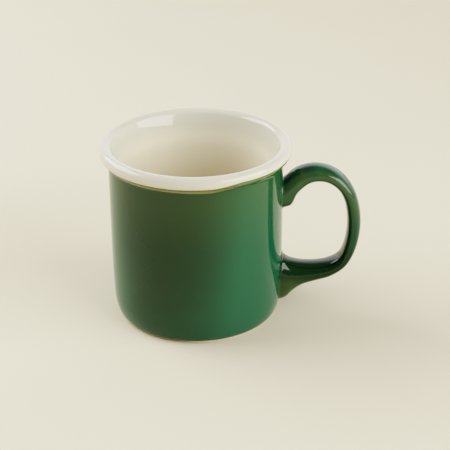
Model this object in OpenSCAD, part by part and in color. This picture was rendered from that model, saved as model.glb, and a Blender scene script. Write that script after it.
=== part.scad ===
// Ceramic mug: a thrown clay cup with a rolled rim and a foot ring, a strap handle
// luted on with slip, a pale liner glaze and a coloured outer glaze.
// Frame: millimetres, +Z up, the cup's axis is Z, the foot stands on Z = 0 and the
// handle reaches along +X.

/* [Cup] */
// Overall height, from the foot to the top of the rim
cup_h = 87.6; // [84:0.2:100]
// Outside radius of the glazed wall
wall_r = 41.4; // [38:0.2:46]
// Thickness of the bare clay wall
wall_t = 4; // [2.6:0.1:4.4]
// Thickness of the bare clay floor
floor_t = 4.4; // [3.4:0.1:6]
// Radius of the rounded corner between the inside wall and the floor
inside_corner_r = 14; // [8:1:20]
// Thickness of each coat of glaze
glaze_t = 0.35; // [0.25:0.05:0.5]

/* [Rim] */
// How far the roll stands out past the wall
rim_out = 4.15; // [3:0.05:5]
// How far the roll's crown stands outside the wall
rim_crown = 1.4; // [1:0.1:2]
// Reach of the roll inwards from its crown
rim_in = 3.3; // [2.6:0.1:3.8]
// Height of the roll above its widest point
rim_up = 2.85; // [2:0.05:3.5]
// Height of the roll below its widest point
rim_down = 3.45; // [2.5:0.05:4]
// Height over which the wall sweeps out to the roll
rim_cove_h = 4; // [3:0.5:6]

/* [Foot] */
// Height of the bare clay left below the outer glaze
bare_h = 1; // [0.6:0.1:2]
// Width of the rounded corner above the foot
corner_w = 2.6; // [1.5:0.1:4]
// Height of the rounded corner above the foot
corner_h = 11; // [7:0.5:14]
// How much the wall draws in towards the foot
draw_in = 0.8; // [0:0.1:1.5]
// Height at which the wall reaches its full radius
draw_in_h = 40; // [30:1:55]
// Width of the foot ring
foot_w = 4.4; // [3:0.1:7]
// Depth of the recess inside the foot ring
recess_h = 1.6; // [1:0.1:2.5]

/* [Handle] */
// Scale of the handle's width
handle_width_scale = 1; // [0.8:0.05:1.3]
// Squareness of the handle's section, 2 is an ellipse
handle_square = 2.4; // [2:0.1:4]
// Extra glaze gathered where the handle meets the wall
fillet_t = 0.8; // [0:0.1:1.2]

/* [Hidden] */

$fn = 96;
turns = 12;          // points along each rounded stretch of the cup's outline
sides = 24;          // points round the handle's section
steps = 3;           // rings between two stations of the handle
core_h = 7;          // length of the core that opens the outer glaze at a root
core_in = 5;         // how far that core starts inside the wall's outside

crown_r = wall_r + rim_crown;
crown_z = cup_h - rim_up;
cove_lap = 0.4;      // how far the cove runs up into the roll
cove_z = crown_z - rim_down - rim_cove_h + cove_lap;
cove_rise = 2;       // how straight the cove leaves the wall
cove_pull = 1.3;     // how closely the cove follows the roll where it meets it
cove_angle = -65;    // where the cove runs into the roll, below its widest point
cove_lean = -cove_angle - 5;
pale_angle = -47;    // where the pale glaze ends, below the roll's widest point
cove_split = 0.28;   // where the coloured glaze alone begins, along the cove
roll_step = 5;       // first step of the roll above its widest point
flare_angle = 162;   // where the roll runs into the flare inside the cup
inside_r = wall_r - wall_t - 2 * glaze_t;
inside_floor_z = recess_h + floor_t + glaze_t;
flare_z = cup_h - 18;
flare_pull = 4.5;    // how straight the flare leaves the roll and joins the wall
foot_r = wall_r - draw_in - corner_w - glaze_t;
foot_round = 0.5;
recess_round = 0.6;
recess_taper = 0.3;
pool_gap = 1.2;      // bare clay between the base glaze and the foot ring
fillet_reach = 1.5;  // stations over which the gathered glaze thins away
root_reach = 2;      // stations over which the handle takes the wall's curve
root_shares = [0.35, 0.7];

// Handle stations from the upper root to the lower one. Each is the outer edge's
// reach past the wall and height, the inner edge's reach and height, and the width.
upper_root = [0, 67.6, 0, 54.8, 15.6];
lower_root = [-1, 4.4, 0, 28.0, 15.6];
handle_stations = [
    [1.8, 69.2, 1.7, 55.2, 15.4],
    [4.4, 72.0, 4.4, 56.6, 14.8],
    [9.0, 74.4, 7.2, 62.6, 13.8],
    [15.8, 75.4, 13.2, 67.8, 12.9],
    [23.2, 73.6, 20.2, 68.2, 12.6],
    [29.6, 68.8, 26.0, 64.6, 12.6],
    [34.4, 61.3, 29.5, 58.6, 12.6],
    [36.9, 52.0, 31.2, 50.6, 12.6],
    [37.2, 42.0, 31.4, 41.8, 12.6],
    [35.2, 31.8, 30.1, 33.4, 12.6],
    [31.0, 23.6, 27.6, 27.6, 12.8],
    [24.0, 18.2, 22.4, 24.6, 13.0],
    [16.4, 15.6, 15.8, 23.4, 13.4],
    [10.0, 13.2, 9.4, 23.6, 14.0],
    [5.2, 9.4, 4.6, 24.8, 14.8],
    [2.2, 5.8, 1.8, 26.4, 15.4]
];

// Outline helpers: p is a list of points, t is a depth below the glazed surface.
function flipped(p) = [for (i = [len(p) - 1:-1:0]) p[i]];
function arc(cx, cz, rx, rz, from, to, n = turns) =
    [for (i = [0:n]) let (a = from + (to - from) * i / n) [cx + rx * cos(a), cz + rz * sin(a)]];
function bezier(a, b, c, d, u) =
    pow(1 - u, 3) * a + 3 * u * pow(1 - u, 2) * b + 3 * u * u * (1 - u) * c + pow(u, 3) * d;

// Wall: full radius above draw_in_h, drawn in below, with a rounded corner at the foot.
function corner_in(z) =
    let (u = max(0, 1 - (z - bare_h) / corner_h)) corner_w * (1 - sqrt(1 - u * u));
function drawn_in(z) = draw_in * pow(max(0, 1 - (z - bare_h) / (draw_in_h - bare_h)), 2);
function wall_radius(z) = wall_r - corner_in(z) - drawn_in(z);
wall_heights = concat(
    [for (i = [0:turns]) bare_h + corner_h * (1 - cos(90 * i / turns))],
    [for (i = [1:6]) bare_h + corner_h + (draw_in_h - bare_h - corner_h) * i / 6],
    [cove_z]
);
function wall(t) = [for (z = wall_heights) [wall_radius(z) - t, z]];

// Cove from the wall to the roll, between two shares of its length.
function rolled(t, a) =
    [crown_r + ((a < 90 ? rim_out - rim_crown : rim_in) - t) * cos(a),
     crown_z + ((a < 0 ? rim_down : rim_up) - t) * sin(a)];
function cove_at(t, u) =
    let (end = rolled(t, cove_angle),
         pull = cove_pull * [sin(cove_lean), cos(cove_lean)])
    bezier([wall_r - t, cove_z], [wall_r - t, cove_z + cove_rise], end - pull, end, u);
function cove(t, from, to) = [for (i = [0:turns]) cove_at(t, from + (to - from) * i / turns)];
function roll(t, from, to, n = turns) =
    [for (i = [0:n]) rolled(t, from + (to - from) * i / n)];

// Inside, from the roll down the flare and the wall to the centre of the floor.
flare_slope = [-rim_in * sin(flare_angle), rim_up * cos(flare_angle)];
function flare(t, u) =
    let (top = rolled(t, flare_angle), bottom = [inside_r + t, flare_z])
    bezier(top, top + flare_pull * flare_slope / norm(flare_slope),
           bottom + [0, flare_pull], bottom, u);
function inside(t) = concat(
    [for (i = [1:turns]) flare(t, i / turns)],
    arc(inside_r - inside_corner_r, inside_floor_z + inside_corner_r,
        inside_corner_r + t, inside_corner_r + t, 0, -90),
    [[0, inside_floor_z - t]]
);

module coat(surface, back) {
    rotate_extrude() polygon(concat(surface, flipped(back)));
}

// Handle: rings from the stations. grow is how far a ring stands outside the clay.
function spline(a, b, c, d, u) = 0.5 * (2 * b + (c - a) * u
    + (2 * a - 5 * b + 4 * c - d) * u * u + (3 * b - a - 3 * c + d) * pow(u, 3));
path = concat([upper_root], handle_stations, [lower_root]);
last = len(path) - 1;
function station(k) = path[max(0, min(last, k))];
function along(s) = let (k = min(floor(s), last - 1))
    spline(station(k - 1), station(k), station(k + 1), station(k + 2), s - k);
function squared(v) = sign(v) * pow(abs(v), 2 / handle_square);
function wall_x(y, z) = sqrt(pow(wall_radius(z), 2) - y * y);
function blend(v) = let (u = max(0, min(1, v))) (1 - u) * (1 - u);

// One point of a ring: j turns round the section, near is 1 at the wall and 0 clear of it.
function ring_point(q, j, grow, near) =
    let (c = squared(cos(360 * j / sides)),
         s = squared(sin(360 * j / sides)),
         mid = [q[0] + q[2], q[1] + q[3]] / 2,
         half = [q[0] - q[2], q[1] - q[3]] / 2,
         size = norm(half),
         y = (q[4] * handle_width_scale / 2 + grow) * s,
         z = mid[1] + half[1] * c * (size + grow) / size,
         x = wall_r + mid[0] + half[0] * c * (size + grow) / size,
         hug = wall_x(y, z) - wall_r)
    [near == 1 ? wall_r + hug : x + near * (hug - wall_x(0, mid[1]) + wall_r), y, z];
function ring(s, grow) =
    let (near = blend(min(s, last - s) / root_reach))
    [for (j = [0:sides - 1]) ring_point(along(s), j, grow, near)];
// A root's outline on the wall, shrunk towards its middle by share.
function root_outline(q, share = 1) =
    [for (j = [0:sides - 1])
        [share * q[4] * handle_width_scale / 2 * squared(sin(360 * j / sides)),
         (q[1] + q[3]) / 2 + share * (q[1] - q[3]) / 2 * squared(cos(360 * j / sides))]];
function on_wall(p) = [wall_x(p[0], p[1]), p[0], p[1]];
function root_ring(q, share) = [for (p = root_outline(q, share)) on_wall(p)];
function root_middle(q) = on_wall([0, (q[1] + q[3]) / 2]);

// Faces between ring a and ring b, each a ring's number.
function band(a, b) = [for (j = [0:sides - 1]) let (k = (j + 1) % sides)
    each [[a * sides + j, b * sides + k, b * sides + j],
          [a * sides + j, a * sides + k, b * sides + k]]];
function between(rings) = [for (i = [0:rings - 2]) each band(i, i + 1)];

ring_count = last * steps + 1;
function fillet(s) = glaze_t + fillet_t * blend(min(s, last - s) / fillet_reach);

// The root's outline carried straight through the wall.
module root_core(q) {
    translate([wall_r - core_in, 0, 0])
        rotate([90, 0, 90])
            linear_extrude(core_h) polygon(root_outline(q));
}

// Bisque cup: wall, floor, foot ring and rolled rim in one piece.
module clay_body() {
    recess_r = foot_r - foot_w;
    color([0.80, 0.72, 0.58])
        rotate_extrude() polygon(concat(
            [[0, recess_h], [recess_r - recess_round, recess_h]],
            [[recess_r, recess_h - recess_round], [recess_r + recess_taper, foot_round]],
            [[recess_r + recess_taper + foot_round, 0]],
            arc(foot_r - foot_round, foot_round, foot_round, foot_round, -90, 0, 4),
            wall(glaze_t), cove(glaze_t, 0, 1), roll(glaze_t, cove_angle, 0),
            roll(glaze_t, roll_step, flare_angle, 2 * turns), inside(glaze_t)
        ));
}

// Strap handle. Its two ends are curved to lie against the wall.
module handle() {
    rings = concat([for (share = root_shares) root_ring(upper_root, share)],
                   [for (i = [0:ring_count - 1]) ring(i / steps, 0)],
                   [for (share = flipped(root_shares)) root_ring(lower_root, share)]);
    middle = len(rings) * sides;
    upper_end = [for (j = [0:sides - 1]) [middle, (j + 1) % sides, j]];
    lower_end = [for (j = [0:sides - 1])
        [middle + 1, middle - sides + j, middle - sides + (j + 1) % sides]];
    color([0.80, 0.72, 0.58])
        polyhedron(concat([for (r = rings) each r], [root_middle(upper_root), root_middle(lower_root)]),
                   concat(upper_end, between(len(rings)), lower_end));
}

// Slip that lutes a root to the clay wall, as thick as the glaze round it.
module slip_joint(q) {
    color([0.72, 0.64, 0.50]) intersection() {
        coat(wall(0), wall(glaze_t));
        root_core(q);
    }
}
module upper_slip_joint() { slip_joint(upper_root); }
module lower_slip_joint() { slip_joint(lower_root); }

// Pale glaze inside the cup and over the roll.
module liner_glaze() {
    color([0.85, 0.83, 0.76])
        coat(concat(roll(0, pale_angle, 0), roll(0, roll_step, flare_angle, 2 * turns), inside(0)),
             concat(roll(glaze_t, pale_angle, 0), roll(glaze_t, roll_step, flare_angle, 2 * turns),
                    inside(glaze_t)));
}

// Coloured glaze over the outside wall, open where the handle's roots pass through.
module outer_glaze() {
    color([0.22, 0.34, 0.20]) difference() {
        coat(concat(wall(0), cove(0, 0, cove_split)),
             concat(wall(glaze_t), cove(glaze_t, 0, cove_split)));
        root_core(upper_root);
        root_core(lower_root);
    }
}

// Coloured glaze round the handle, thicker where it gathers at the wall.
module handle_glaze() {
    outer_rings = [for (i = [0:ring_count - 1]) ring(i / steps, fillet(i / steps))];
    inner_rings = [for (i = [ring_count - 1:-1:0]) ring(i / steps, 0)];
    rings = concat(outer_rings, inner_rings);
    color([0.22, 0.34, 0.20])
        polyhedron([for (r = rings) each r],
                   concat(between(len(rings)), band(len(rings) - 1, 0)));
}

// Ring under the roll where the coloured glaze laps the pale one.
module overlap_band() {
    color([0.52, 0.51, 0.33])
        coat(concat(cove(0, cove_split, 1), roll(0, cove_angle, pale_angle)),
             concat(cove(glaze_t, cove_split, 1), roll(glaze_t, cove_angle, pale_angle)));
}

// Glaze in the recess inside the foot ring.
module base_glaze() {
    color([0.22, 0.34, 0.20])
        translate([0, 0, recess_h - glaze_t])
            cylinder(h = glaze_t, r = foot_r - foot_w - pool_gap);
}

clay_body();
handle();
upper_slip_joint();
lower_slip_joint();
liner_glaze();
outer_glaze();
handle_glaze();
overlap_band();
base_glaze();
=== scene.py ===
"""Ceramic mug: the looks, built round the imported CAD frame. Metres, +Z up, handle along +X."""
import math

import bpy
import bmesh
from mathutils import Matrix, Vector, noise


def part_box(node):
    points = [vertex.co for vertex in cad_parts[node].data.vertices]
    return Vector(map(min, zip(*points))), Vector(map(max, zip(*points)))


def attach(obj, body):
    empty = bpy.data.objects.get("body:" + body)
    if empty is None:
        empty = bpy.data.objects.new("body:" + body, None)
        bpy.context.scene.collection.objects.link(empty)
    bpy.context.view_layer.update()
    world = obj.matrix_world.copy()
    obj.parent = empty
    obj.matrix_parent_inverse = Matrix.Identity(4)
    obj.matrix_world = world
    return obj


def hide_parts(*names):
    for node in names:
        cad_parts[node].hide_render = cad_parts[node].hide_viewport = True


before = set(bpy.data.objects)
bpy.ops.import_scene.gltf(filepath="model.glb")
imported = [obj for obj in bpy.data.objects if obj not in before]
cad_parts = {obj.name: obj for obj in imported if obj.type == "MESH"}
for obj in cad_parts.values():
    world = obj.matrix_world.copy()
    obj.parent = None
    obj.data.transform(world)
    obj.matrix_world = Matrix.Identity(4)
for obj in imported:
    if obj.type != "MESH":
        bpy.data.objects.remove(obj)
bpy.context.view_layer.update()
scene = bpy.context.scene
MM = 0.001

# ---------------------------------------------------------------- driving dimensions
# The rim's box and the cup's height come from the frame. The others repeat part.scad.
CUP_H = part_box("liner_glaze")[1].z / MM
RIM_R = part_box("liner_glaze")[1].y / MM
RIM_OUT = 4.15
WALL_R = RIM_R - RIM_OUT
WALL_T = 4.0
FLOOR_T = 4.4
INSIDE_CORNER_R = 14.0
GLAZE_T = 0.35
RIM_CROWN = 1.4
RIM_IN = 3.3
RIM_UP = 2.85
RIM_DOWN = 3.45
RIM_COVE_H = 4.0
BARE_H = 1.0
CORNER_W = 2.6
CORNER_H = 11.0
DRAW_IN = 0.8
DRAW_IN_H = 40.0
FOOT_W = 4.4
FOOT_ROUND_OUT = 0.5
FOOT_ROUND_IN = 0.8
RECESS_H = 1.6
RECESS_ROUND = 0.7
RECESS_FLAT = 0.9
POOL_GAP = 1.2
POOL_ROUND = 0.3
HANDLE_SQUARE = 2.4

CROWN_R = WALL_R + RIM_CROWN
CROWN_Z = CUP_H - RIM_UP
COVE_LAP = 0.4
COVE_Z = CROWN_Z - RIM_DOWN - RIM_COVE_H + COVE_LAP
COVE_RISE = 2
COVE_PULL = 1.3
COVE_ANGLE = -65.0
COVE_LEAN = -COVE_ANGLE - 5
INSIDE_R = WALL_R - WALL_T - 2 * GLAZE_T
INSIDE_FLOOR_Z = RECESS_H + FLOOR_T + GLAZE_T
FLARE_Z = CUP_H - 18
FLARE_ANGLE = 162.0
FLARE_PULL = 4.5
FOOT_R = WALL_R - DRAW_IN - CORNER_W - GLAZE_T

# Where the pale glaze ends on the roll (degrees) and the green one on the cove (0 to 1).
# Both edges wander round the cup and climb on the handle's side.
PALE_ANGLE = -47.0
PALE_WANDER = 4.0
PALE_CLIMB = 35.0
COVE_SPLIT = 0.28
SPLIT_WANDER = 0.10
SPLIT_CLIMB = 0.4
CLIMB_AT = -12.0
CLIMB_FROM = 0.38
CLIMB_FULL = 0.70

# Handle stations: outer edge's reach and height, inner edge's reach and height, width.
UPPER_ROOT = (0, 67.6, 0, 54.8, 15.6)
LOWER_ROOT = (-1, 4.4, 0, 28.0, 15.6)
HANDLE_STATIONS = (
    (1.8, 69.2, 1.7, 55.2, 15.4),
    (4.4, 72.0, 4.4, 56.6, 14.8),
    (9.0, 74.4, 7.2, 62.6, 13.8),
    (15.8, 75.4, 13.2, 67.8, 12.9),
    (23.2, 73.6, 20.2, 68.2, 12.6),
    (29.6, 68.8, 26.0, 64.6, 12.6),
    (34.4, 61.3, 29.5, 58.6, 12.6),
    (36.9, 52.0, 31.2, 50.6, 12.6),
    (37.2, 42.0, 31.4, 41.8, 12.6),
    (35.2, 31.8, 30.1, 33.4, 12.6),
    (31.0, 23.6, 27.6, 27.6, 12.8),
    (24.0, 18.2, 22.4, 24.6, 13.0),
    (16.4, 15.6, 15.8, 23.4, 13.4),
    (10.0, 13.2, 9.4, 23.6, 14.0),
    (5.2, 9.4, 4.6, 24.8, 14.8),
    (2.2, 5.8, 1.8, 26.4, 15.4),
)

# ---------------------------------------------------------------- camera
CAMERA_AT = Vector((0.0289, -0.5519, 0.3150))
CAMERA_TURN = math.radians(1.58)
CAMERA_DOWN = math.radians(26.18)
CAMERA_ROLL = math.radians(-0.32)


def make_camera():
    data = bpy.data.cameras.new("camera")
    data.lens = 101.6
    data.sensor_width = 36
    data.clip_start = 0.01
    data.clip_end = 50
    camera = bpy.data.objects.new("camera", data)
    camera.matrix_world = (
        Matrix.Translation(CAMERA_AT)
        @ Matrix.Rotation(CAMERA_TURN, 4, "Z")
        @ Matrix.Rotation(math.pi / 2 - CAMERA_DOWN, 4, "X")
        @ Matrix.Rotation(CAMERA_ROLL, 4, "Z")
    )
    scene.collection.objects.link(camera)
    scene.camera = camera


make_camera()

# ---------------------------------------------------------------- outlines, in millimetres
def arc(cx, cz, rx, rz, start, end, n):
    """n + 1 points of an ellipse about (cx, cz), from start to end in degrees."""
    turns = [math.radians(start + (end - start) * i / n) for i in range(n + 1)]
    return [(cx + rx * math.cos(a), cz + rz * math.sin(a)) for a in turns]


def bezier(a, b, c, d, u):
    """The point at share u of the cubic curve from a to d, pulled towards b and c."""
    v = 1 - u
    return tuple(
        v**3 * p + 3 * u * v * v * q + 3 * u * u * v * r + u**3 * s for p, q, r, s in zip(a, b, c, d)
    )


def wall_radius(z):
    u = max(0.0, 1 - (z - BARE_H) / CORNER_H)
    corner = CORNER_W * (1 - math.sqrt(max(0.0, 1 - u * u)))
    drawn = DRAW_IN * max(0.0, 1 - (z - BARE_H) / (DRAW_IN_H - BARE_H)) ** 2
    return WALL_R - corner - drawn


def wall(t, n=24):
    """The outside wall at depth t, from the bare foot up to the cove."""
    low = [BARE_H + CORNER_H * (1 - math.cos(math.pi / 2 * i / n)) for i in range(n + 1)]
    top = low[-1]
    high = [top + (COVE_Z - top) * i / n for i in range(1, n)]
    return [(wall_radius(z) - t, z) for z in low + high]


def rolled(t, angle):
    """The point of the rolled rim at depth t whose turn above its widest point is angle."""
    a = math.radians(angle)
    reach = RIM_OUT - RIM_CROWN if angle < 90 else RIM_IN
    rise = RIM_DOWN if angle < 0 else RIM_UP
    return CROWN_R + (reach - t) * math.cos(a), CROWN_Z + (rise - t) * math.sin(a)


def roll(t, start, end, n):
    return [rolled(t, start + (end - start) * i / n) for i in range(n + 1)]


def cove(t, start, end, n=12):
    """Part of the hollow between the wall and the roll, from share start to share end."""
    tip = rolled(t, COVE_ANGLE)
    lean = math.radians(COVE_LEAN)
    held = (tip[0] - COVE_PULL * math.sin(lean), tip[1] - COVE_PULL * math.cos(lean))
    foot = (WALL_R - t, COVE_Z)
    above = (WALL_R - t, COVE_Z + COVE_RISE)
    return [bezier(foot, above, held, tip, start + (end - start) * i / n) for i in range(n + 1)]


def inside(t, n=20):
    """From the roll's inner shoulder down the flare and the wall to the centre of the floor."""
    top = rolled(t, FLARE_ANGLE)
    turn = math.radians(FLARE_ANGLE)
    slope = (-RIM_IN * math.sin(turn), RIM_UP * math.cos(turn))
    share = FLARE_PULL / math.hypot(*slope)
    below = (top[0] + share * slope[0], top[1] + share * slope[1])
    bottom = (INSIDE_R + t, FLARE_Z)
    above = (bottom[0], bottom[1] + FLARE_PULL)
    flare = [bezier(top, below, above, bottom, i / n) for i in range(1, n + 1)]
    middle = (INSIDE_R - INSIDE_CORNER_R, INSIDE_FLOOR_Z + INSIDE_CORNER_R)
    reach = INSIDE_CORNER_R + t
    return flare + arc(*middle, reach, reach, 0, -90, n)


# ---------------------------------------------------------------- mesh helpers
def piece(name, vertices, faces, sharp_angle=45):
    """A smooth-shaded mesh object with its edges above sharp_angle kept crisp. Points in mm."""
    mesh = bpy.data.meshes.new(name)
    mesh.from_pydata([Vector(v) * MM for v in vertices], [], faces)
    work = bmesh.new()
    work.from_mesh(mesh)
    bmesh.ops.recalc_face_normals(work, faces=work.faces)
    work.to_mesh(mesh)
    work.free()
    mesh.shade_smooth()
    mesh.set_sharp_from_angle(angle=math.radians(sharp_angle))
    obj = bpy.data.objects.new(name, mesh)
    scene.collection.objects.link(obj)
    return obj


def ring_faces(rings, sides, closed):
    """Quads between consecutive rings of sides points, back to the first ring if closed."""
    faces = []
    for i in range(rings if closed else rings - 1):
        a, b = i * sides, (i + 1) % rings * sides
        for j in range(sides):
            k = (j + 1) % sides
            faces.append((a + j, b + j, b + k, a + k))
    return faces


def turned(name, outline, poles=False, segments=288):
    """Turns outline(angle), a list of (radius, height), round the cup's axis.
    With poles the outline's first and last points lie on the axis, otherwise it is a closed loop."""
    columns = [outline(2 * math.pi * s / segments) for s in range(segments)]
    count = len(columns[0])
    inner = range(1, count - 1) if poles else range(count)
    vertices = []
    for s, column in enumerate(columns):
        a = 2 * math.pi * s / segments
        for i in inner:
            radius, height = column[i]
            vertices.append((radius * math.cos(a), radius * math.sin(a), height))
    rows = len(inner)
    faces = []
    for s in range(segments):
        a, b = s * rows, (s + 1) % segments * rows
        for i in range(rows - 1 if poles else rows):
            k = (i + 1) % rows
            faces.append((a + i, b + i, b + k, a + k))
    if poles:
        first, last = len(vertices), len(vertices) + 1
        vertices += [(0, 0, columns[0][0][1]), (0, 0, columns[0][-1][1])]
        for s in range(segments):
            a, b = s * rows, (s + 1) % segments * rows
            faces.append((first, b, a))
            faces.append((last, a + rows - 1, b + rows - 1))
    return piece(name, vertices, faces)


def wave(angle, seed, size, bends=1.7):
    """A smooth closed wander round the cup, within plus or minus about size."""
    return size * noise.noise(Vector((bends * math.cos(angle), bends * math.sin(angle), seed)))


def climb(angle):
    """How far the green glaze runs up on the handle's side: 0 to 1 round the cup."""
    u = (math.cos(angle - math.radians(CLIMB_AT)) - CLIMB_FROM) / (CLIMB_FULL - CLIMB_FROM)
    u = max(0.0, min(1.0, u))
    return u * u * (3 - 2 * u)


def pale_end(angle):
    """The pale glaze's lower edge on the roll."""
    return PALE_ANGLE + wave(angle, 3.1, PALE_WANDER) + PALE_CLIMB * climb(angle)


def cove_split(angle):
    """The green glaze's upper edge, as a share of the cove."""
    return COVE_SPLIT + wave(angle, 8.4, SPLIT_WANDER) + SPLIT_CLIMB * climb(angle)


# ---------------------------------------------------------------- cup
def clay_outline(_):
    recess_r = FOOT_R - FOOT_W
    a, b, c = RECESS_ROUND, FOOT_ROUND_IN, FOOT_ROUND_OUT
    return (
        [(0, RECESS_H), (recess_r - RECESS_FLAT, RECESS_H)]
        + arc(recess_r - a, RECESS_H - a, a, a, 90, 0, 5)[1:]
        + arc(recess_r + b, b, b, b, 180, 270, 6)
        + arc(FOOT_R - c, c, c, c, -90, 0, 6)
        + wall(GLAZE_T)
        + cove(GLAZE_T, 0, 1)
        + roll(GLAZE_T, COVE_ANGLE, 0, 12)[1:]
        + roll(GLAZE_T, 0, FLARE_ANGLE, 36)[1:]
        + inside(GLAZE_T)
        + [(0, INSIDE_FLOOR_Z - GLAZE_T)]
    )


def liner_outline(angle):
    end = pale_end(angle)

    def face(t):
        return roll(t, end, 0, 12) + roll(t, 0, FLARE_ANGLE, 48)[1:] + inside(t)

    top, bottom = (0, INSIDE_FLOOR_Z), (0, INSIDE_FLOOR_Z - GLAZE_T)
    return [top] + face(0)[::-1] + face(GLAZE_T) + [bottom]


def overlap_outline(angle):
    split, end = cove_split(angle), pale_end(angle)

    def face(t):
        return cove(t, split, 1, 6) + roll(t, COVE_ANGLE, end, 6)[1:]

    return face(0) + face(GLAZE_T)[::-1]


def jacket_outline(angle):
    split = cove_split(angle)

    def face(t):
        return wall(t) + cove(t, 0, split, 10)

    return face(0) + face(GLAZE_T)[::-1]


def base_outline(_):
    edge = FOOT_R - FOOT_W - POOL_GAP
    top = RECESS_H
    return (
        [(0, top), (edge, top)]
        + arc(edge - POOL_ROUND, top, POOL_ROUND, GLAZE_T, 0, -90, 5)[1:]
        + [(0, top - GLAZE_T)]
    )


# ---------------------------------------------------------------- handle
PATH = (UPPER_ROOT,) + HANDLE_STATIONS + (LOWER_ROOT,)
LAST = len(PATH) - 1
SIDES = 72
STEPS = 8
ROOT_REACH = 2
FILLET = 1.0
FILLET_PACE = 1.8
FILLET_TURNS = range(0, 90, 15)


def station(k):
    """Station k, or the nearest one there is."""
    return PATH[max(0, min(LAST, k))]


def along(s):
    """The section at s stations along, on a smooth curve through all stations."""
    k = min(int(s), LAST - 1)
    u = s - k
    return tuple(
        0.5
        * (2 * b + (c - a) * u + (2 * a - 5 * b + 4 * c - d) * u * u + (3 * b - a - 3 * c + d) * u**3)
        for a, b, c, d in zip(station(k - 1), station(k), station(k + 1), station(k + 2))
    )


def squared(v):
    """Turns a sine or cosine into that of a squarish oval."""
    return math.copysign(abs(v) ** (2 / HANDLE_SQUARE), v)


def wall_x(y, z):
    """How far out the wall is beside the XZ plane."""
    return math.sqrt(wall_radius(z) ** 2 - y * y)


def handle_ring(s, grow):
    """The ring of the handle's section at s stations along, standing grow outside the clay."""
    q = along(s)
    near = max(0.0, 1 - min(s, LAST - s) / ROOT_REACH) ** 2
    mid = ((q[0] + q[2]) / 2, (q[1] + q[3]) / 2)
    half = ((q[0] - q[2]) / 2, (q[1] - q[3]) / 2)
    size = math.hypot(*half)
    swell = (size + grow) / size
    points = []
    for j in range(SIDES):
        c = squared(math.cos(2 * math.pi * j / SIDES))
        v = squared(math.sin(2 * math.pi * j / SIDES))
        y = (q[4] / 2 + grow) * v
        z = mid[1] + half[1] * c * swell
        x = WALL_R + mid[0] + half[0] * c * swell
        if near == 1:
            x = wall_x(y, z)
        else:
            x += near * (wall_x(y, z) - wall_x(0, mid[1]))
        points.append((x, y, z))
    return points


def handle_glaze():
    """A closed sleeve of glaze on the handle, gathered in a fillet at each root."""
    ends = [FILLET * (1 - math.cos(math.radians(a))) / FILLET_PACE for a in FILLET_TURNS]
    middle = [i / STEPS for i in range(STEPS // 2 + 1, LAST * STEPS - STEPS // 2)]
    places = ends + middle + [LAST - e for e in reversed(ends)]

    def grow(s):
        away = min(s, LAST - s) * FILLET_PACE
        if away >= FILLET:
            return GLAZE_T
        return GLAZE_T + FILLET - math.sqrt(FILLET**2 - (FILLET - away) ** 2)

    rings = [handle_ring(s, grow(s)) for s in places]
    rings += [handle_ring(s, 0) for s in reversed(places)]
    vertices = [p for ring in rings for p in ring]
    return piece("handle_glaze_coat", vertices, ring_faces(len(rings), SIDES, closed=True))


clay = turned("clay_cup", clay_outline, poles=True)
liner = turned("liner_glaze_coat", liner_outline, poles=True)
overlap = turned("overlap_glaze_band", overlap_outline)
jacket = turned("outer_glaze_jacket", jacket_outline)
base = turned("base_glaze_pool", base_outline, poles=True)
grip = handle_glaze()

PIECES = (
    (clay, "clay_body", "bare_clay"),
    (liner, "liner_glaze", "liner_glaze"),
    (overlap, "overlap_band", "overlap_glaze"),
    (jacket, "outer_glaze", "outer_glaze"),
    (base, "base_glaze", "outer_glaze"),
    (grip, "handle_glaze", "outer_glaze"),
)
for obj, node_name, slot_name in PIECES:
    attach(obj, "root")
    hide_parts(node_name)


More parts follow.
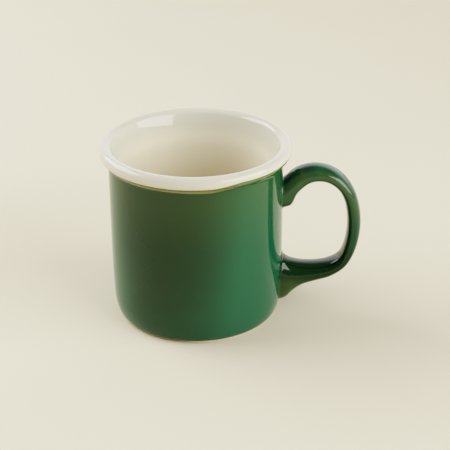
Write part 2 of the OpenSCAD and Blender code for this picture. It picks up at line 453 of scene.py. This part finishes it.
# ---------------------------------------------------------------- materials
class Nodes:
    """A material's node tree, with short calls for the nodes used here."""

    def __init__(self, name):
        self.material = bpy.data.materials.new(name)
        self.material.use_nodes = True
        self.tree = self.material.node_tree
        self.shader = self.tree.nodes["Principled BSDF"]
        self.place = self.add("ShaderNodeTexCoord").outputs["Object"]

    def add(self, kind, **settings):
        node = self.tree.nodes.new(kind)
        for key, value in settings.items():
            setattr(node, key, value)
        return node

    def link(self, out, socket):
        self.tree.links.new(out, socket)

    def noise(self, scale, detail=2.0, roughness=0.5):
        node = self.add("ShaderNodeTexNoise")
        self.link(self.place, node.inputs["Vector"])
        node.inputs["Scale"].default_value = scale
        node.inputs["Detail"].default_value = detail
        node.inputs["Roughness"].default_value = roughness
        return node.outputs["Fac"]

    def ramp(self, fac, low, high):
        """0 at low, 1 at high and past it, smooth between. High may be the smaller of the two."""
        node = self.add("ShaderNodeMapRange", interpolation_type="SMOOTHSTEP")
        self.link(fac, node.inputs["Value"])
        node.inputs["From Min"].default_value = low
        node.inputs["From Max"].default_value = high
        return node.outputs["Result"]

    def mix(self, fac, a, b):
        node = self.add("ShaderNodeMix", data_type="RGBA")
        self.link(fac, node.inputs["Factor"])
        for socket, value in ((node.inputs[6], a), (node.inputs[7], b)):
            if isinstance(value, tuple):
                socket.default_value = (*value, 1)
            else:
                self.link(value, socket)
        return node.outputs[2]

    def math(self, operation, a, b):
        node = self.add("ShaderNodeMath", operation=operation)
        for socket, value in ((node.inputs[0], a), (node.inputs[1], b)):
            if isinstance(value, (int, float)):
                socket.default_value = value
            else:
                self.link(value, socket)
        return node.outputs[0]

    def axis(self, name):
        node = self.add("ShaderNodeSeparateXYZ")
        self.link(self.place, node.inputs[0])
        return node.outputs[name]

    def radius(self):
        """Distance from the cup's axis."""
        flat = self.add("ShaderNodeVectorMath", operation="MULTIPLY")
        self.link(self.place, flat.inputs[0])
        flat.inputs[1].default_value = (1, 1, 0)
        length = self.add("ShaderNodeVectorMath", operation="LENGTH")
        self.link(flat.outputs[0], length.inputs[0])
        return length.outputs["Value"]

    def bump(self, fac, strength, distance, after=None):
        """A normal bumped by fac, on top of the bump in after."""
        node = self.add("ShaderNodeBump")
        node.inputs["Strength"].default_value = strength
        node.inputs["Distance"].default_value = distance
        self.link(fac, node.inputs["Height"])
        if after is not None:
            self.link(after, node.inputs["Normal"])
        return node.outputs["Normal"]

    def specks(self, scale, size):
        """1 in small round specks, 0 between them."""
        node = self.add("ShaderNodeTexVoronoi")
        self.link(self.place, node.inputs["Vector"])
        node.inputs["Scale"].default_value = scale
        return self.ramp(node.outputs["Distance"], size, size * 0.4)


def glazed(nodes, colour, ripple=0.25, roughness=(0.06, 0.1)):
    """Finishes a glaze: gloss with a slight unevenness, an orange-peel ripple and fine grain."""
    shader = nodes.shader
    nodes.link(colour, shader.inputs["Base Color"])
    shader.inputs["IOR"].default_value = 1.48
    node = nodes.add("ShaderNodeMapRange")
    nodes.link(nodes.noise(90), node.inputs["Value"])
    node.inputs["To Min"].default_value = roughness[0]
    node.inputs["To Max"].default_value = roughness[1]
    nodes.link(node.outputs["Result"], shader.inputs["Roughness"])
    slow = nodes.bump(nodes.noise(140, 1.0), ripple, 0.00006)
    nodes.link(nodes.bump(nodes.noise(900, 2.0), ripple, 0.000006, slow), shader.inputs["Normal"])
    return nodes.material


# Colours are linear. Heights and distances in the materials are in metres.
GREEN = (0.015, 0.094, 0.048)
# Darker green, used for painted shade and for patches of deep glaze.
DEEP_AND_SHADE_GREEN = (0.003, 0.029, 0.005)
OLIVE = (0.055, 0.098, 0.030)
PALE_OLIVE = (0.21, 0.215, 0.085)
# Painted shade for the crease at the olive band's foot.
CREASE_SHADE_OLIVE = (0.10, 0.13, 0.035)
ROLL_OLIVE = (0.125, 0.175, 0.068)
CREAM = (0.82, 0.77, 0.61)
CLOUDED_CREAM = (0.805, 0.75, 0.585)
# Painted shade for the inside of the cup.
SHADED_CREAM = (0.69, 0.55, 0.34)
RIM_WHITE = (0.65, 0.625, 0.505)
RIM_UNDERSIDE = (0.70, 0.635, 0.52)
CREAM_SPECK = (0.5, 0.42, 0.3)
TAN = (0.80, 0.70, 0.54)
SLIP_TAN = (0.68, 0.58, 0.44)
# Painted shade on the bare clay.
SHADED_CLAY = (0.46, 0.26, 0.11)
CLAY_SPECK = (0.08, 0.05, 0.03)
# The direction the painted shade on the cup's front faces.
SHADE_TURN = math.radians(-111)


def green_glaze(name, deep_and_shade, thin_and_reflection):
    """Green glaze: darker by the first mask (painted shade, on the handle also random deep patches),
    olive by the second (thin glaze, on the handle also painted floor reflection).
    """
    nodes = Nodes(name)
    body = nodes.mix(deep_and_shade(nodes), GREEN, DEEP_AND_SHADE_GREEN)
    grain = nodes.ramp(nodes.noise(1400, 1.0), 0.35, 0.75)
    body = nodes.mix(nodes.math("MULTIPLY", grain, 0.02), body, OLIVE)
    body = nodes.mix(thin_and_reflection(nodes), body, OLIVE)
    low = nodes.math("ADD", nodes.axis("Z"), nodes.math("MULTIPLY", nodes.noise(260), 0.001))
    body = nodes.mix(nodes.ramp(low, 0.0026, 0.0014), body, OLIVE)
    return glazed(nodes, body)


def shade_on_front(nodes):
    """Painted shade on the cup's front, spreading more widely towards the rim."""
    toward = nodes.math(
        "ADD",
        nodes.math("MULTIPLY", nodes.axis("X"), math.cos(SHADE_TURN)),
        nodes.math("MULTIPLY", nodes.axis("Y"), math.sin(SHADE_TURN)),
    )
    wander = nodes.math("MULTIPLY", nodes.noise(25, 3.0), 0.006)
    widen = nodes.math("MULTIPLY", nodes.axis("Z"), 0.12)
    reach = nodes.math("ADD", nodes.math("ADD", toward, wander), widen)
    return nodes.ramp(reach, 0.031, 0.052)


def patches_and_shade_at_bend(nodes):
    """Random darker patches on the handle, and painted shade towards its lower bend."""
    patches = nodes.math("MULTIPLY", nodes.ramp(nodes.noise(45, 2.0), 0.2, 0.6), 0.6)
    # The height ramp is painted shade on the handle's lower bend.
    return nodes.math("MAXIMUM", patches, nodes.ramp(nodes.axis("Z"), 0.050, 0.026))


def thin_near_rim(nodes):
    """The glaze thins gently up the wall."""
    high = nodes.ramp(nodes.axis("Z"), 0.040, 0.084)
    return nodes.math("MULTIPLY", high, 0.4)


def thin_and_reflection_on_handle(nodes):
    """Olive on the handle's flanks, in soft patches: partly thin glaze, partly a painted reflection
    of the floor.
    """
    flank = nodes.ramp(nodes.math("ABSOLUTE", nodes.axis("Y"), 0), 0.0044, 0.0062)
    patches = nodes.ramp(nodes.noise(70, 3.0), 0.1, 0.6)
    upper = nodes.ramp(nodes.axis("Z"), 0.034, 0.078)
    lower = nodes.math("MULTIPLY", nodes.ramp(nodes.axis("Z"), 0.0200, 0.0150), 0.7)
    thin_and_reflection = nodes.math("MULTIPLY", nodes.math("MAXIMUM", upper, lower), patches)
    return nodes.math("MULTIPLY", flank, thin_and_reflection)


def overlap_glaze():
    """Green over white: olive, with a painted shade line at its foot in the crease, and greener where
    it climbs.
    """
    nodes = Nodes("overlap_glaze")
    wander = nodes.math("MULTIPLY", nodes.noise(220, 2.0), 0.0005)
    high = nodes.math("ADD", nodes.axis("Z"), wander)
    colour = nodes.mix(nodes.ramp(high, 0.0788, 0.0797), CREASE_SHADE_OLIVE, PALE_OLIVE)
    colour = nodes.mix(nodes.ramp(high, 0.0812, 0.0824), colour, ROLL_OLIVE)
    return glazed(nodes, colour)


def liner_glaze():
    """Warm white glaze, whiter on the rim, with painted shade that darkens and warms it towards the
    floor.
    """
    nodes = Nodes("liner_glaze")
    cloud = nodes.ramp(nodes.noise(30, 3.0), 0.3, 0.7)
    inside_tone = nodes.mix(cloud, CREAM, CLOUDED_CREAM)
    warm = nodes.mix(nodes.ramp(nodes.axis("Z"), 0.073, 0.082), inside_tone, RIM_WHITE)
    # Painted shade deep in the cup, darker and warmer towards the floor.
    deep_and_shade = nodes.ramp(nodes.axis("Z"), 0.066, 0.040)
    warm = nodes.mix(nodes.math("MULTIPLY", deep_and_shade, 0.65), warm, SHADED_CREAM)
    under = nodes.math(
        "MULTIPLY",
        nodes.ramp(nodes.axis("Z"), 0.0862, 0.0818),
        nodes.ramp(nodes.radius(), 0.0415, 0.0435),
    )
    warm = nodes.mix(under, warm, RIM_UNDERSIDE)
    speck = nodes.specks(260, 0.06)
    colour = nodes.mix(nodes.math("MULTIPLY", speck, 0.25), warm, CREAM_SPECK)
    return glazed(nodes, colour, ripple=0.03, roughness=(0.02, 0.04))


def bare_clay(name, tone):
    """Bare clay, with painted shade on the side away from the handle."""
    nodes = Nodes(name)
    # Painted shade towards the side away from the handle.
    side = nodes.math("ADD", nodes.axis("X"), nodes.math("MULTIPLY", nodes.noise(60), 0.02))
    body = nodes.mix(nodes.ramp(side, 0.018, -0.004), tone, SHADED_CLAY)
    dark = tuple(0.75 * c for c in tone)
    colour = nodes.mix(nodes.ramp(nodes.noise(900, 3.0), 0.45, 0.85), body, dark)
    colour = nodes.mix(nodes.specks(700, 0.12), colour, CLAY_SPECK)
    nodes.link(colour, nodes.shader.inputs["Base Color"])
    nodes.shader.inputs["Roughness"].default_value = 0.85
    nodes.link(nodes.bump(nodes.noise(2500, 3.0), 0.6, 0.00008), nodes.shader.inputs["Normal"])
    return nodes.material


def dress(obj, material):
    obj.data.materials.clear()
    obj.data.materials.append(material)


# The cup's green carries painted shade on its front.
green = green_glaze("green_glaze", shade_on_front, thin_near_rim)
# The handle's green carries painted shade towards its lower bend and a painted floor reflection on
# its flanks.
handle_green = green_glaze("handle_green_glaze", patches_and_shade_at_bend, thin_and_reflection_on_handle)
clay_tan = bare_clay("bare_clay", TAN)
slip_tan = bare_clay("slip_clay", SLIP_TAN)
dress(clay, clay_tan)
dress(liner, liner_glaze())
dress(overlap, overlap_glaze())
for obj in (jacket, base):
    dress(obj, green)
dress(grip, handle_green)
dress(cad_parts["handle"], clay_tan)
dress(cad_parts["upper_slip_joint"], slip_tan)
dress(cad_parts["lower_slip_joint"], slip_tan)

# ---------------------------------------------------------------- stage
FLOOR_SIZE = 2.5
FLOOR_DROP = 0.0002
FLOOR_COLOUR = (0.80, 0.725, 0.55)
FLOOR_CLOUD = (0.785, 0.71, 0.54)
ROOM_COLOUR = (1.0, 0.98, 0.95)
ROOM_LEVEL = 0.28
BACKDROP_LEVEL = 1.4

# Brightness in the scene and brightness shown: dark tones held down, a soft shoulder to white.
TONE = (
    (0, 0), (0.02, 0.008), (0.05, 0.033), (0.1, 0.086), (0.2, 0.21),
    (0.4, 0.415), (0.7, 0.625), (1.0, 0.76), (2.0, 0.94), (4.0, 1.0),
)


def make_floor():
    mesh = bpy.data.meshes.new("floor")
    turns = ((-1, -1), (1, -1), (1, 1), (-1, 1))
    corners = [(x * FLOOR_SIZE, y * FLOOR_SIZE, -FLOOR_DROP) for x, y in turns]
    mesh.from_pydata(corners, [], [(0, 1, 2, 3)])
    floor = bpy.data.objects.new("floor", mesh)
    scene.collection.objects.link(floor)
    nodes = Nodes("floor_paint")
    tone = nodes.mix(nodes.ramp(nodes.noise(9, 3.0), 0.3, 0.7), FLOOR_COLOUR, FLOOR_CLOUD)
    nodes.link(tone, nodes.shader.inputs["Base Color"])
    nodes.shader.inputs["Roughness"].default_value = 0.75
    nodes.shader.inputs["Specular IOR Level"].default_value = 0.25
    dress(floor, nodes.material)


def softbox(name, azimuth, elevation, distance, size, power, mirrored=True):
    """An area light that faces the cup's middle from that direction, in degrees and metres.
    Unless mirrored, it lights the scene but shows in no reflection."""
    a, e = math.radians(azimuth), math.radians(elevation)
    middle = Vector((0, 0, CUP_H * MM / 2))
    out = Vector((math.cos(a) * math.cos(e), math.sin(a) * math.cos(e), math.sin(e)))
    data = bpy.data.lights.new(name, "AREA")
    data.shape = "RECTANGLE"
    data.size, data.size_y = size
    data.energy = power
    light = bpy.data.objects.new(name, data)
    light.visible_glossy = mirrored
    light.location = middle + out * distance
    light.rotation_euler = (-out).to_track_quat("-Z", "Y").to_euler()
    scene.collection.objects.link(light)


def make_world():
    """A dim room with a bright low backdrop behind the cup."""
    world = bpy.data.worlds.new("studio")
    scene.world = world
    world.use_nodes = True
    tree = world.node_tree
    background = tree.nodes["Background"]
    place = tree.nodes.new("ShaderNodeTexCoord")
    split = tree.nodes.new("ShaderNodeSeparateXYZ")
    tree.links.new(place.outputs["Generated"], split.inputs[0])
    back = tree.nodes.new("ShaderNodeMapRange")
    back.inputs["From Min"].default_value = 0.0
    back.inputs["From Max"].default_value = 0.9
    tree.links.new(split.outputs["Y"], back.inputs["Value"])
    low = tree.nodes.new("ShaderNodeMapRange")
    low.inputs["From Min"].default_value = 0.65
    low.inputs["From Max"].default_value = 0.40
    tree.links.new(split.outputs["Z"], low.inputs["Value"])
    glow = tree.nodes.new("ShaderNodeMath")
    glow.operation = "MULTIPLY"
    tree.links.new(back.outputs["Result"], glow.inputs[0])
    tree.links.new(low.outputs["Result"], glow.inputs[1])
    level = tree.nodes.new("ShaderNodeMath")
    level.operation = "MULTIPLY_ADD"
    level.inputs[1].default_value = BACKDROP_LEVEL
    level.inputs[2].default_value = ROOM_LEVEL
    tree.links.new(glow.outputs[0], level.inputs[0])
    background.inputs["Color"].default_value = (*ROOM_COLOUR, 1)
    tree.links.new(level.outputs[0], background.inputs["Strength"])


def tone_curve():
    """Sets the picture's tone. The colour channels stay straight, and reach as far as TONE does."""
    view = scene.view_settings
    view.view_transform = "Standard"
    view.use_curve_mapping = True
    mapping = view.curve_mapping
    brightest = TONE[-1][0]
    mapping.clip_max_x = mapping.clip_max_y = brightest
    mapping.extend = "HORIZONTAL"
    for channel in mapping.curves[:3]:
        channel.points[-1].location = (brightest, brightest)
    curve = mapping.curves[3]
    curve.points[-1].location = TONE[-1]
    for x, y in TONE[1:-1]:
        curve.points.new(x, y)
    mapping.update()


make_floor()
make_world()
softbox("left_box", azimuth=163, elevation=36, distance=1.3, size=(1.35, 0.75), power=18.0)
softbox("right_box", azimuth=-28, elevation=23, distance=1.3, size=(1.35, 0.85), power=19.5)
softbox(
    "front_fill", azimuth=-95, elevation=60, distance=1.5, size=(1.6, 1.2), power=3.0, mirrored=False
)
tone_curve()
